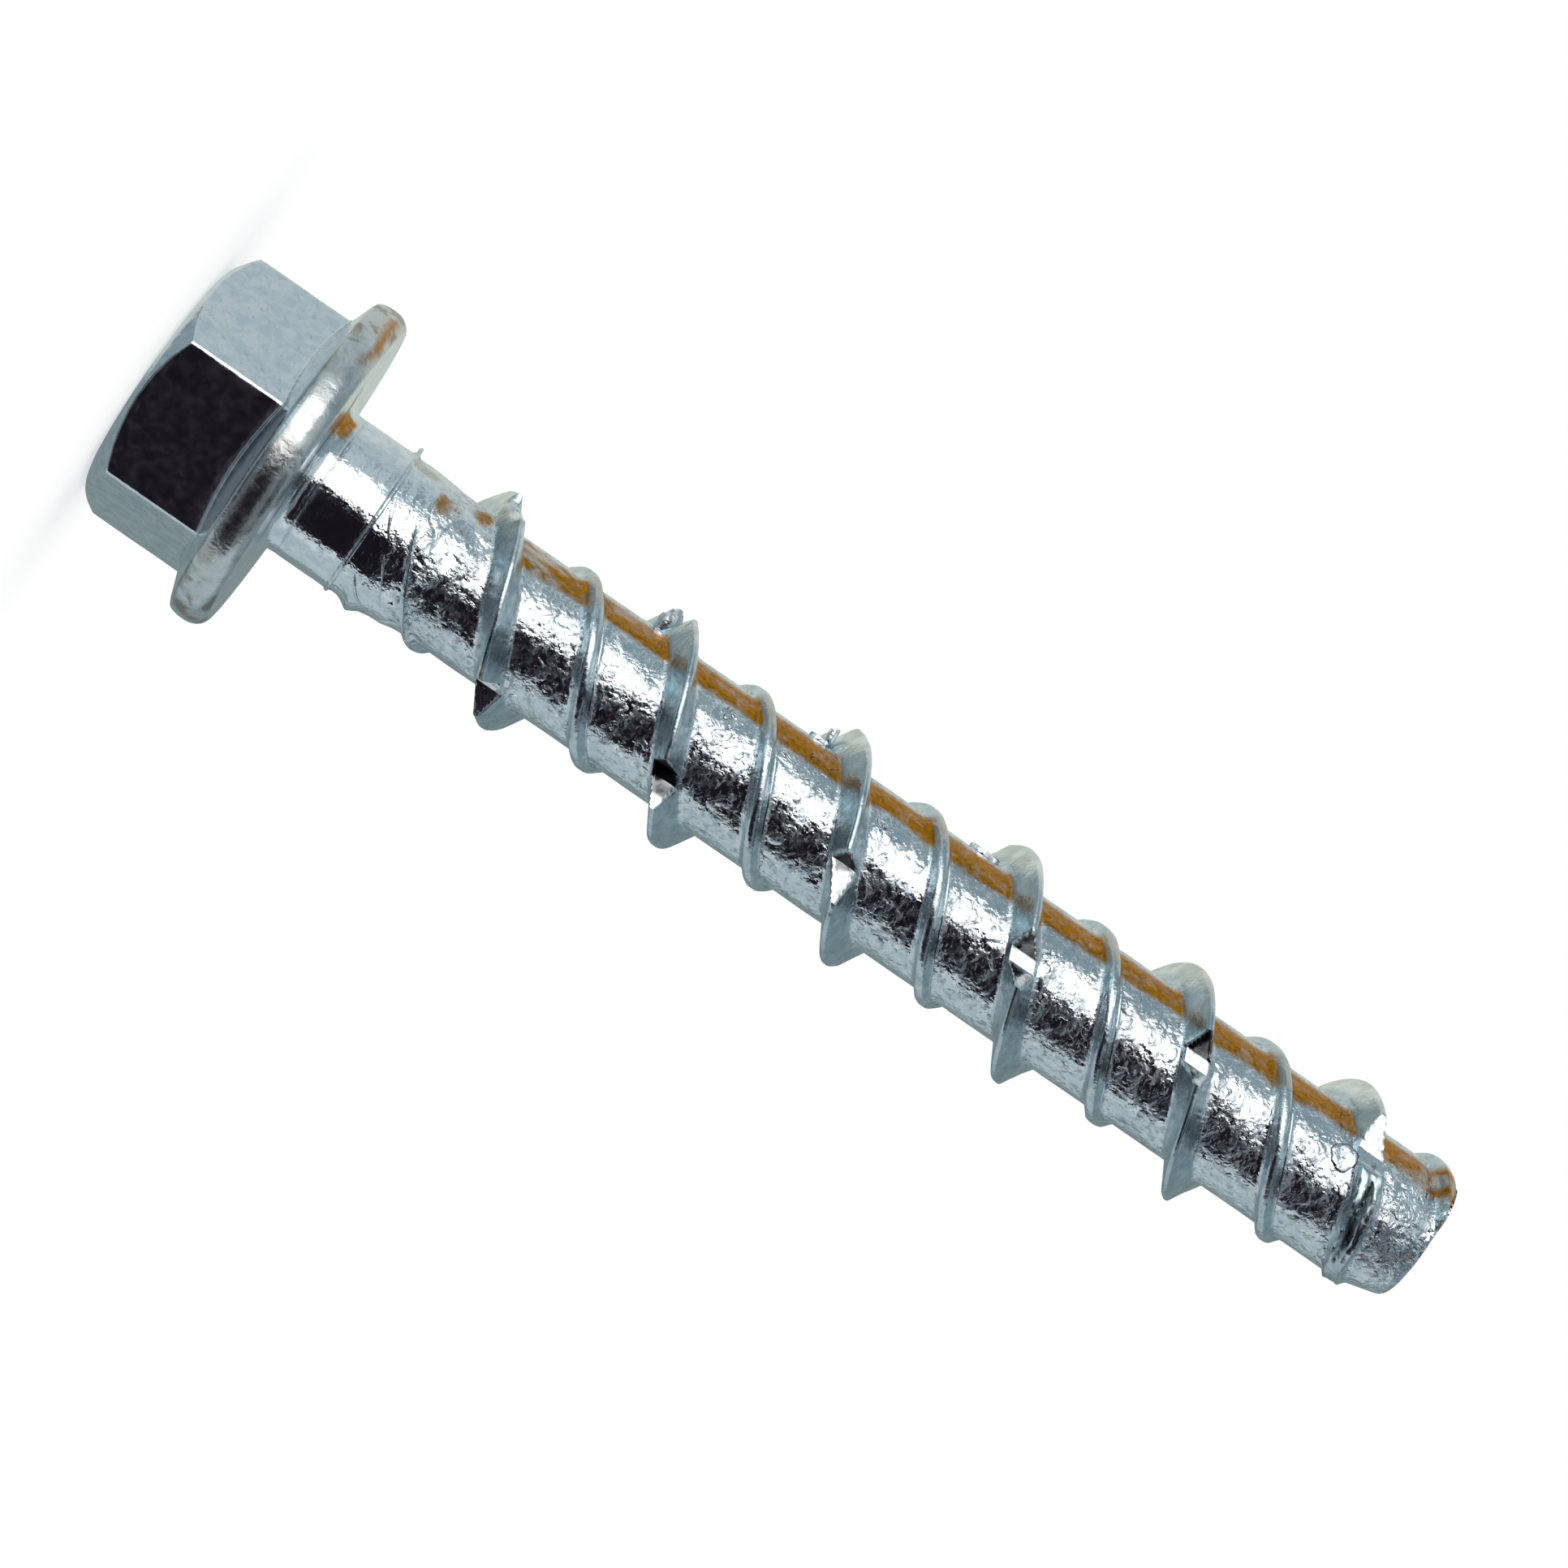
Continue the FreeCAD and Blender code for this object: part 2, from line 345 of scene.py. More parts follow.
# Rows and columns of the mesh
def azimuths():
    """Azimuths of the mesh's columns, close together at the hexagon's corners
    and moved onto the edges of the notches' floors."""
    out = []
    for side in range(6):
        cell = list(np.linspace(0, 60, 37)[:-1])
        cell[1], cell[-1] = 1.35, 58.65
        out += [60 * side + c for c in cell] + [60 * side + 0.65, 60 * side + 59.35]
    out = np.sort((np.array(out) + HEX_TURN) % 360)
    taken = np.abs((out - HEX_TURN + 30) % 60 - 30) < 1.5
    half = math.degrees(math.atan2(FLOOR_HALF_WIDTH, FLOOR_RADIUS))
    edges = [NOTCHES[-1]]
    for centre in NOTCHES[:-1]:
        edges += [centre - half, centre + half]
    for edge in edges:
        gap = np.abs((out - edge % 360 + 180) % 360 - 180)
        gap[taken] = 99
        best = int(np.argmin(gap))
        if gap[best] < 0.9:
            out[best] = edge % 360
            taken[best] = True
    return np.sort(out % 360)


PHI = azimuths()
COLUMNS = len(PHI)

# Distances along the axis, from the high and the low crest, of the grid's rows
FROM_HIGH = (
    0, 0.07, 0.14, 0.22, 0.32, 0.43, 0.55, 0.68, 0.8,
    0.92, 1.05, 1.2, 1.4, 1.65, 2.0, 2.55, 3.2,
)
FROM_LOW = (0, 0.12, 0.24, 0.36, 0.48, 0.6, 0.74, 0.9, 1.08, 1.3)
ROW_OFFSETS = np.array(sorted(set(
    [v for h in FROM_HIGH for v in (-h, h)]
    + [-LEAD / 2 + v for v in FROM_LOW] + [LEAD / 2 - v for v in FROM_LOW[1:]]
)))

# Masks of the head, the flange's rim, the ridges and the freshly cut metal
ON_HEAD, ON_RIM, PLAIN = (1, 0, 0, 0), (0, 1, 0, 0), (0, 0, 0, 0)
verts, masks, shades, faces = [], [], [], []


def add_points(points, mask, shade=0.0):
    """Adds points with their masks; returns the index of the first."""
    first = sum(len(v) for v in verts)
    verts.append(points)
    masks.append(np.broadcast_to(np.asarray(mask, float), (len(points), 4)))
    shades.append(np.broadcast_to(np.asarray(shade, float), len(points)))
    return first


def on_surface(radius, a, z):
    """Points at radii, azimuths in radians and heights."""
    return np.stack([radius * np.cos(a), radius * np.sin(a), np.broadcast_to(z, a.shape)], -1)


def add_ring(radius, z, mask):
    """One closed ring of points; returns their indices."""
    return add_points(on_surface(radius, np.radians(PHI), z), mask) + np.arange(COLUMNS)


def band(a, b):
    """Quads between two rings, facing outwards when b follows a upwards."""
    for j in range(COLUMNS):
        k = (j + 1) % COLUMNS
        faces.append((a[j], a[k], b[k], b[j]))


def close_ring(ring, z, mask, upwards):
    """Closes a ring with triangles to a point on the axis."""
    middle = add_points(np.array([[0, 0, z]]), mask)
    for j in range(COLUMNS):
        a, b = ring[j], ring[(j + 1) % COLUMNS]
        faces.append((middle, a, b) if upwards else (middle, b, a))


# Head
def hex_radius(phi):
    """Radius of the hexagon with rounded corners."""
    rho = HEX_CORNER_RADIUS
    d = np.radians(((phi - HEX_TURN) % 60) - 30)
    flat = HEX_HALF_WIDTH / np.cos(d)
    c = (HEX_HALF_WIDTH - rho) / math.cos(math.radians(30))
    e = np.radians(30) - np.abs(d)
    arc = c * np.cos(e) + np.sqrt(np.maximum(rho ** 2 - (c * np.sin(e)) ** 2, 0))
    arc_start = (HEX_HALF_WIDTH - rho) * math.tan(math.radians(30))
    return np.where(np.tan(np.abs(d)) * HEX_HALF_WIDTH > arc_start, arc, flat)


def crown_z(r):
    """Height of the crown that rounds the head's end."""
    return HEAD_END + np.interp(r, CROWN_RADII, CROWN_HEIGHTS)


def slope_z(r):
    """Height of the flange's sloped upper side."""
    return -RIM_HEIGHT - (RIM_RADIUS - r) * math.tan(math.radians(FLANGE_SLOPE))


def head_mesh():
    """Rings over the head, the flange and the plain neck; returns the last one."""
    hexagon = hex_radius(PHI)
    px, py = circle(PHI, HEX_HALF_WIDTH)
    zero = np.zeros(COLUMNS)
    rings = []

    def ring(radius, z, mask):
        rings.append(add_ring(radius, z, mask))

    # flat end face
    for r in (0.02, 0.6, 1.4, 2.3, 3.2, 4.0, 4.7, 5.1, CROWN_RADII[0]):
        dent = noise(px * r / HEX_HALF_WIDTH, py * r / HEX_HALF_WIDTH, zero, 0.8, 51)
        dent = 0.02 * dent * (r > 0.5)
        ring(r, HEAD_END + np.maximum(dent, 0), ON_HEAD)
    # crown, rounded over into the hexagon's sides
    wobble = 0.03 * noise(px, py, zero, 1.0, 52) + 0.02 * noise(px, py, zero, 0.35, 53)
    wobble = np.maximum(wobble, -0.02)
    flat, edge = CROWN_RADII[0], hexagon - 0.13
    for t in (0.2, 0.4, 0.55, 0.7, 0.82, 0.92, 1.0):
        r = flat + (edge - flat) * t
        ring(r, crown_z(r) + wobble * t * 0.6, ON_HEAD)
    low = crown_z(edge) + wobble * 0.6
    for inwards, up in ((0.08, 0.03), (0.04, 0.07), (0.012, 0.13)):
        ring(hexagon - inwards, low + up, ON_HEAD)
    # sides of the hexagon
    low = low + 0.13
    high = slope_z(hexagon)
    for t in (0.0, 0.03, 0.1, 0.2, 0.32, 0.44, 0.56, 0.68, 0.8, 0.9):
        z = low + 0.07 + (high - 0.18 - low - 0.07) * t
        pull = -0.012 * noise(px, py, z, 1.4, 54)
        if t == 0:
            pull = pull - 0.015
        ring(hexagon + np.minimum(pull, 0), z, ON_HEAD)
    ring(hexagon, high - 0.16, ON_HEAD)
    # fillet at their foot, and the flange's slope
    ring(hexagon + 0.03, high - 0.06, ON_HEAD)
    foot = hexagon + 0.1
    ring(foot, slope_z(foot), (0.6, 0, 0, 0))
    for t in (0.15, 0.4, 0.7, 0.92):
        r = foot + (SLOPE_END_RADIUS - hexagon - 0.1) * t
        dent = 0.012 * noise(px * r / HEX_HALF_WIDTH, py * r / HEX_HALF_WIDTH, zero, 1.1, 55)
        ring(r, slope_z(r) + dent, (0.3, 0, 0, 0))
    # rounded rim and bearing face
    for r, z in RIM:
        dent = 0.014 * noise(px, py, zero + z, 0.9, 56)
        ring(np.minimum(r + dent, WIDEST_RADIUS), z, ON_RIM)
    for r in (8.2, 7.6, 6.8, 6.0, 5.3, 4.8, 4.5):
        ring(r, 0.0, (0, 0.3, 0, 0))
    # fillet under the head and the plain neck, with a fine line round it
    for lean in (15, 30, 45, 60, 75, 90):
        a = math.radians(lean)
        r = SHANK_RADIUS + UNDER_HEAD_FILLET - UNDER_HEAD_FILLET * math.sin(a)
        ring(r, UNDER_HEAD_FILLET - UNDER_HEAD_FILLET * math.cos(a), PLAIN)
    for z in (0.78, 0.84, 0.9, 1.2, 1.6, 2.0, 2.4, 2.8, 3.1):
        line = 0.02 if z == 0.84 else 0.0
        dent = 0.006 * noise(px, py, zero + z, 0.8, 57)
        ring(SHANK_RADIUS - line + dent, z, PLAIN)
    for a, b in zip(rings, rings[1:]):
        band(a, b)
    close_ring(rings[0], HEAD_END, ON_HEAD, upwards=False)
    return rings[-1]


def tip_face(rim, end_radius):
    """End face inside a ring, a little dished, with the marks of shearing."""
    px, py = circle(PHI, 1)
    last = rim
    for f in (0.96, 0.85, 0.68, 0.48, 0.26, 0.1, 0.01):
        r = end_radius * f
        dip = -0.015 - 0.05 * (1 - f) + 0.02 * noise(px * r, py * r, np.zeros(COLUMNS), 0.7, 61)
        ring = add_ring(r, TIP_END + np.minimum(dip, -0.002), (0.5, 0, 0, 0))
        band(last, ring)
        last = ring
    close_ring(last, TIP_END - 0.06, (0.5, 0, 0, 0), upwards=True)


def thread_mesh(neck):
    """Helical grid from the neck to the tip's end face, its rows along the ridges.
    Its points below the neck's top or over the tip become the rings there."""
    low = add_ring(surface(PHI, np.full(COLUMNS, NECK_TOP)), NECK_TOP, PLAIN)
    band(neck, low)
    end_radius = surface(PHI, np.full(COLUMNS, TIP_END - 0.25)) - 0.22
    rim = add_ring(end_radius, TIP_END, (0.5, 0, 0, 0))

    first_turn = math.floor((NECK_TOP - LEAD / 2 - CROSSING) / LEAD) - 1
    last_turn = math.ceil((TIP_END + LEAD / 2 - CROSSING) / LEAD) + 1
    column = np.arange((last_turn - first_turn) * COLUMNS)
    total = PHI[column % COLUMNS] + 360.0 * (column // COLUMNS + first_turn)
    z = ROW_OFFSETS[None, :] + CROSSING + total[:, None] / DEGREES_PER_MM
    phi = np.broadcast_to(PHI[column % COLUMNS][:, None], z.shape)
    r, ridge, fresh, painted_shade = (v.reshape(z.shape) for v in body_radius(phi.ravel(), z.ravel()))
    # the end's edge is rounded over
    over = np.clip((z - (TIP_END - 0.3)) / 0.3, 0, 1)
    r = r - 0.2 * (1 - np.sqrt(np.maximum(1 - over ** 2, 0)))

    below, beyond = z <= NECK_TOP + 0.02, z >= TIP_END - 0.03
    inside = ~(below | beyond)
    zero = np.zeros(z.shape)
    mask = np.stack([zero, zero, ridge, fresh], -1)
    first = add_points(on_surface(r, np.radians(phi), z)[inside], mask[inside], painted_shade[inside])
    index = np.full(z.shape, -1, dtype=np.int64)
    index[inside] = first + np.arange(inside.sum())
    place = np.broadcast_to((column % COLUMNS)[:, None], z.shape)
    index = np.where(below, low[place], index)
    index = np.where(beyond, rim[place], index)

    rows = len(ROW_OFFSETS)
    for i in range(rows):
        if i < rows - 1:
            corners = index[:-1, i], index[1:, i], index[1:, i + 1], index[:-1, i + 1]
        else:
            # the last row meets the first one of the next turn
            corners = (
                index[:-COLUMNS - 1, i], index[1:-COLUMNS, i],
                index[COLUMNS + 1:, 0], index[COLUMNS:-1, 0],
            )
        for quad in zip(*(c.tolist() for c in corners)):
            ring = list(dict.fromkeys(quad))
            if len(ring) >= 3:
                faces.append(tuple(ring))
    tip_face(rim, end_radius)


# Torn metal
FOLD_RADIUS, LEAF_RADIUS = 3.7, 3.65
LEAF_POINTS = 18


def fold(path, width, height, lean=0.0, ridge=0.6):
    """Thin raised fold of metal along azimuth and height pairs, fading at its ends."""
    path = np.array(path, float)
    knots = np.arange(len(path))
    t = np.linspace(0, len(path) - 1, 4 * (len(path) - 1) + 1)
    phi, z = np.interp(t, knots, path[:, 0]), np.interp(t, knots, path[:, 1])
    for line in (phi, z):
        for _ in range(3):
            line[1:-1] = (line[:-2] + 2 * line[1:-1] + line[2:]) / 4
    n = len(phi)
    q = np.arange(n)
    phi = phi + 0.5 * noise(q, q * 0, q * 0 + z[0], 2.0, 71)
    size = np.sqrt(np.clip(np.sin(np.pi * q / (n - 1)), 0, 1))
    dx, dz = np.gradient(np.radians(phi) * FOLD_RADIUS), np.gradient(z)
    length = np.hypot(dx, dz)
    nx, nz = -dz / length, dx / length
    r = surface(phi, z)
    # places across the fold, in widths and heights
    section = ((-0.5, -0.02), (lean - 0.12, 1.0), (lean + 0.12, 1.0), (0.5, -0.02), (0.0, -1.5))
    lines = []
    for side, up in section:
        a = np.radians(phi) + nx * side * width * size / FOLD_RADIUS
        lines.append(on_surface(r + up * height * size, a, z + nz * side * width * size))
    first = add_points(np.stack(lines, 1).reshape(-1, 3), (0, 0, ridge, 0))
    m = len(section)
    for i in range(n - 1):
        for k in range(m):
            a, b = first + m * i + k, first + m * i + (k + 1) % m
            faces.append((a, b, b + m, a + m))
    faces.append(tuple(first + k for k in reversed(range(m))))
    faces.append(tuple(first + m * (n - 1) + k for k in range(m)))


def leaf(azimuth, height, wide, tall, thick, seed, tilt=0.0, painted_edge_shade=0.0):
    """Leaf of displaced metal that lies on the core; wide and tall are half sizes,
    tilt is in radians."""
    n = LEAF_POINTS
    a = np.linspace(0, 2 * np.pi, n, endpoint=False)
    wobble = 1 + 0.22 * noise(np.cos(a) * 2, np.sin(a) * 2, a * 0 + seed, 1.1, 72)
    cosine, sine = math.cos(tilt), math.sin(tilt)
    rows = []
    for scale, up in (
        (1.0, -0.06), (0.97, thick * 0.7), (0.85, thick),
        (0.6, thick * 0.9), (0.3, thick * 0.85),
    ):
        dx = wide * np.sin(a) * wobble * scale
        dz = tall * np.cos(a) * wobble * scale
        dx, dz = dx * cosine - dz * sine, dx * sine + dz * cosine
        phi, z = azimuth + np.degrees(dx / LEAF_RADIUS), height + dz
        r = np.clip(surface(phi, z), CORE_RADIUS - 0.1, 4.2) + up
        rows.append(on_surface(r, np.radians(phi), z))
    middle = rows[-1].mean(0)
    points = np.concatenate(rows + [middle[None], (middle * [0.93, 0.93, 1])[None]])
    # painted shade on the two outer rows, round the leaf's edge
    shade = np.where(np.arange(len(points)) < 2 * n, painted_edge_shade, 0.0)
    first = add_points(points, (0, 0, 0.3, 0.4), shade)
    last_row = first + n * (len(rows) - 1)
    over = first + n * len(rows)
    for row in range(first, last_row, n):
        for j in range(n):
            i = (j + 1) % n
            faces.append((row + j, row + i, row + n + i, row + n + j))
    for j in range(n):
        i = (j + 1) % n
        faces.append((last_row + j, last_row + i, over))
        faces.append((first + i, first + j, over + 1))


def seen(*places):
    """Azimuths and heights of places given by angles up from the camera's side."""
    return [(CAMERA_SIDE - angle, z) for angle, z in places]


thread_mesh(head_mesh())
# a rolled line runs round the end of the plain shank
fold([
    (75 + a, BEAD_HEIGHT + 0.2 * max(-math.cos(math.radians(a)), 0))
    for a in np.arange(0, 365, 5)
], 0.26, 0.08, 0.15, 0.3)
# flow lines that the rolling left on the run-out
fold(seen((62, 3.9), (40, 4.0), (22, 4.2), (8, 4.6), (-2, 4.95)), 0.22, 0.05, 0.2)
fold(
    seen((4, 6.1), (-10, 6.5), (-28, 7.0), (-45, 7.5), (-62, 8.0), (-74, 8.3)),
    0.26, 0.09, 0.25,
)
fold(seen((-36, 4.5), (-48, 4.9), (-60, 5.35), (-73, 6.0)), 0.16, 0.035, 0.1)
fold(seen((-30, 5.8), (-44, 6.15), (-58, 6.5)), 0.16, 0.03, 0.1)
fold(seen((-14, 5.3), (-24, 5.6), (-34, 5.95)), 0.14, 0.03, 0.1)
# a thin bright lip runs along each turn of the low ridge
for start in range(440, 440 + 5 * 360, 360):
    fold([
        (turn, CROSSING - LEAD / 2 + turn / DEGREES_PER_MM + 0.5)
        for turn in np.arange(start, start + 300, 12)
    ], 0.16, 0.035, 0.2, 0.9)
# leaves of metal pushed aside by the notches
for k, centre in enumerate(NOTCHES[1:]):
    for side in (-1, 1):
        if (k + (side > 0)) % 3 == 2:
            continue
        turn = centre + 3 + 4 * math.sin(k * 2.3 + side)
        aside = side * (1.3 + 0.12 * math.sin(k * 1.7))
        height = CROSSING + turn / DEGREES_PER_MM + aside
        leaf(turn, height, 0.46, 0.28, 0.03, k + 0.5 * side, 0.25 * side)
# a large leaf lies beside the last notch, with painted shade round its edge
leaf(2030.5, 59.1, 0.76, 0.66, 0.12, 8.3, 0.5, 0.9)
# knobs and thin leaves stand up beside three crests
leaf(166.0, 18.05, 0.45, 0.42, 0.8, 2.1)
leaf(165.0, 27.72, 0.32, 0.26, 0.85, 5.2)
leaf(168.0, 27.35, 0.30, 0.50, 0.22, 6.7)
leaf(168.0, 37.0, 0.30, 0.85, 0.25, 9.4)

points = np.concatenate(verts) * MM
mask, shade = np.concatenate(masks), np.concatenate(shades)

# Marks

# Spots of painted amber reflection: angle up from the camera's side, height, their
# half sizes in degrees and millimetres, and their strength
AMBER_REFLECTION_SPOTS = (
    (50, 0.35, 15, 0.55, 1.0), (46, 6.2, 11, 0.5, 0.9), (65, 8.2, 12, 0.6, 0.9),
    (66, 4.6, 8, 0.8, 0.35), (50, 58.4, 9, 0.6, 0.8), (62, 62.6, 14, 0.8, 0.6),
    (33, 7.6, 5, 0.3, 0.4),
)


def marks():
    """Painted amber reflection, matt metal, painted highlight on crests and painted shade at each
    point of the surface.
    """
    x, y, z = points.T / MM
    azimuth = np.degrees(np.arctan2(y, x))
    theta = (CAMERA_SIDE - azimuth + 180) % 360 - 180
    radius = np.hypot(x, y)
    grain = noise(x, y, z, 0.9, 81) + 0.6 * noise(x, y, z, 0.35, 82)
    wander = 3.5 * noise(z, 0 * z, 0 * z, 2.3, 83)
    # painted amber reflection, in a stripe along one side of the core
    stain_and_reflection = ramp(theta, 40 + wander, 47 + wander) * (1 - ramp(theta, 68, 79)) * ramp(z, 9.0, 10.6)
    # it is kept off the lower flank of the high ridge and both crests
    u = (z - CROSSING - azimuth / DEGREES_PER_MM + LEAD / 2) % LEAD - LEAD / 2
    climbing = ramp(radius, 3.66, 3.85) * (u < 0) * (u > -1.9) * (radius < 5.3) * (z > 8)
    stain_and_reflection = stain_and_reflection * (1 - 0.95 * climbing) * (1 - ramp(radius, 4.2, 4.7))
    stain_and_reflection = stain_and_reflection * (1 - 0.75 * ramp(radius, 3.74, 3.95) * (1 - ramp(z, 59.0, 60.5)))
    # and is broken up at both of its ends
    ends = np.maximum(ramp(z, 60.0, 62.0), 1 - ramp(z, 15.0, 18.0))
    stain_and_reflection = stain_and_reflection * (1 - 0.6 * ramp(grain, 0.0, 0.6) * ends)
    for angle, height, wide, tall, amount in AMBER_REFLECTION_SPOTS:
        spot = 1.25 - np.hypot((theta - angle) / wide, (z - height) / tall) + 0.35 * grain
        stain_and_reflection = np.maximum(stain_and_reflection, amount * ramp(spot, 0.2, 0.7) * (radius < 6))
    # a wavering line of it on the flange's rim
    edge = hump(z, -(0.55 + 0.22 * noise(theta, 0 * z, 0 * z, 9.0, 84)), 0.32)
    edge = edge * ramp(theta, 38, 46) * (1 - ramp(theta, 72, 82)) * (radius > 8.3)
    stain_and_reflection = np.maximum(stain_and_reflection, 0.95 * edge * ramp(grain, -1.1, -0.2))
    # matt metal in one notch that faces the camera, and painted highlight on the crests above it
    notch_z = CROSSING + NOTCHES[FLOORLESS_NOTCH] / DEGREES_PER_MM
    notch = np.exp(-((z - notch_z) / 1.2) ** 4) * (np.abs(theta + 14) < 30)
    crests, fresh = mask[:, 2], mask[:, 3]
    crest_highlight = crests * ramp(theta, 35, 60) * (1 - ramp(theta, 120, 150)) * ramp(radius, 3.85, 4.3)
    # none of the amber on cut metal or in the middle of the end faces
    stain_and_reflection = stain_and_reflection * (1 - fresh) * ramp(radius, 2.8, 3.1)
    return np.stack([np.clip(stain_and_reflection, 0, 1), fresh * notch, crest_highlight, shade], 1)


mesh = bpy.data.meshes.new("screw_surface")
mesh.from_pydata(points.tolist(), [], faces)
mesh.validate()
mesh.update()
mesh.polygons.foreach_set("use_smooth", [True] * len(mesh.polygons))
mesh.set_sharp_from_angle(angle=math.radians(42))
for name, values in (("zone", mask), ("marks", marks())):
    colour = mesh.color_attributes.new(name, "FLOAT_COLOR", "POINT")
    colour.data.foreach_set("color", values.astype(np.float32).ravel())
screw = bpy.data.objects.new("screw_surface", mesh)
scene.collection.objects.link(screw)


# Material
class Nodes:
    """An emptied node tree, with short ways of filling it. A value is a number,
    a colour or another node's output."""

    def __init__(self, block):
        block.use_nodes = True
        self.tree = block.node_tree
        self.tree.nodes.clear()

    def new(self, kind):
        return self.tree.nodes.new(kind)

    def put(self, value, socket):
        if isinstance(value, (int, float)):
            socket.default_value = value
        elif isinstance(value, tuple):
            socket.default_value = (*value, 1)
        else:
            self.tree.links.new(value, socket)

    def maths(self, operation, a, b):
        node = self.new("ShaderNodeMath")
        node.operation = operation
        self.put(a, node.inputs[0])
        self.put(b, node.inputs[1])
        return node.outputs[0]

    def times(self, a, b):
        return self.maths("MULTIPLY", a, b)

    def plus(self, a, b):
        return self.maths("ADD", a, b)

    def rescale(self, value, a, b, c, d):
        """A value that goes from c to d while the given one goes from a to b."""
        node = self.new("ShaderNodeMapRange")
        for k, v in enumerate((value, a, b, c, d)):
            self.put(v, node.inputs[k])
        return node.outputs[0]

    def mix(self, factor, a, b):
        """Mix of two numbers."""
        node = self.new("ShaderNodeMix")
        for k, v in ((0, factor), (2, a), (3, b)):
            self.put(v, node.inputs[k])
        return node.outputs[0]

    def tint(self, factor, a, b):
        """Mix of two colours."""
        node = self.new("ShaderNodeMix")
        node.data_type = "RGBA"
        for k, v in (("Factor", factor), ("A", a), ("B", b)):
            self.put(v, node.inputs[k])
        return node.outputs["Result"]

    def scaled(self, vector, scale):
        node = self.new("ShaderNodeMapping")
        node.inputs["Scale"].default_value = scale
        self.put(vector, node.inputs["Vector"])
        return node.outputs[0]

    def noise(self, vector, grain, detail, rough=0.55, distort=0.0):
        node = self.new("ShaderNodeTexNoise")
        for k, v in (
            ("Scale", 1 / grain), ("Detail", detail), ("Roughness", rough),
            ("Distortion", distort), ("Vector", vector),
        ):
            self.put(v, node.inputs[k])
        return node.outputs["Fac"]

    def attribute(self, name):
        """The four channels of a colour attribute."""
        node = self.new("ShaderNodeAttribute")
        node.attribute_name = name
        split = self.new("ShaderNodeSeparateColor")
        self.put(node.outputs["Color"], split.inputs[0])
        return (*split.outputs[:3], node.outputs["Alpha"])


